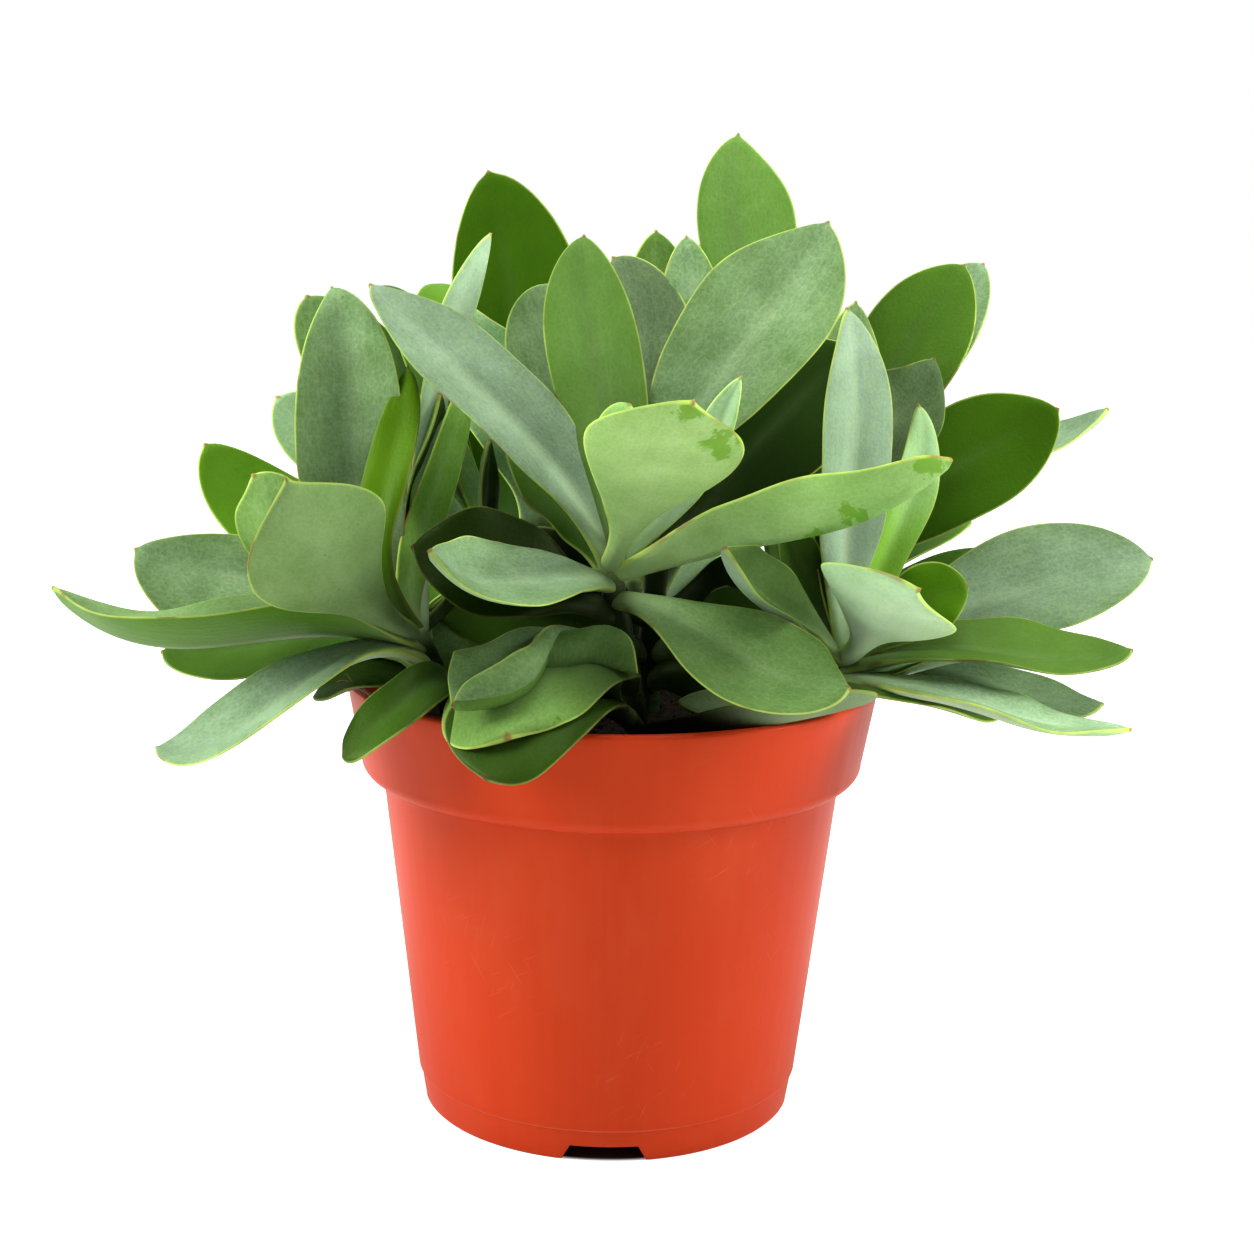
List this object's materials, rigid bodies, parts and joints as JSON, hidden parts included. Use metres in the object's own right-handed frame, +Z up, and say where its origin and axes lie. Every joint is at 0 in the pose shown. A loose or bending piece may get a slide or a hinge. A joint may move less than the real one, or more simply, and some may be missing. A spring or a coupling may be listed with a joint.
{
  "type": "potted senecio cephalophorus",
  "caption": "Fleshy, bloom-coated succulent with paddle-shaped leaves on short stems, growing in peat in a round terracotta-coloured nursery pot.",
  "frame": {"origin": "centre of the pot's foot ring, on the surface that the pot stands on", "axes": "+Z up along the pot's axis, +X to the viewer's right in the picture, -Y towards the viewer"},
  "size_m": [0.2434, 0.1751, 0.2207],
  "materials": {
    "pot_plastic": "injection-moulded polypropylene, terracotta orange, satin with fine draw marks",
    "peat": null,
    "leaf": null
  },
  "bodies": {
    "root": {"pot": "pot_plastic", "soil": "peat", "stem_middle": "leaf", "stem_left": "leaf", "stem_right": "leaf", "stem_backLeft": "leaf", "stem_backMiddle": "leaf", "stem_backRight": "leaf", "stem_rear": "leaf"}
  },
  "joints": []
}
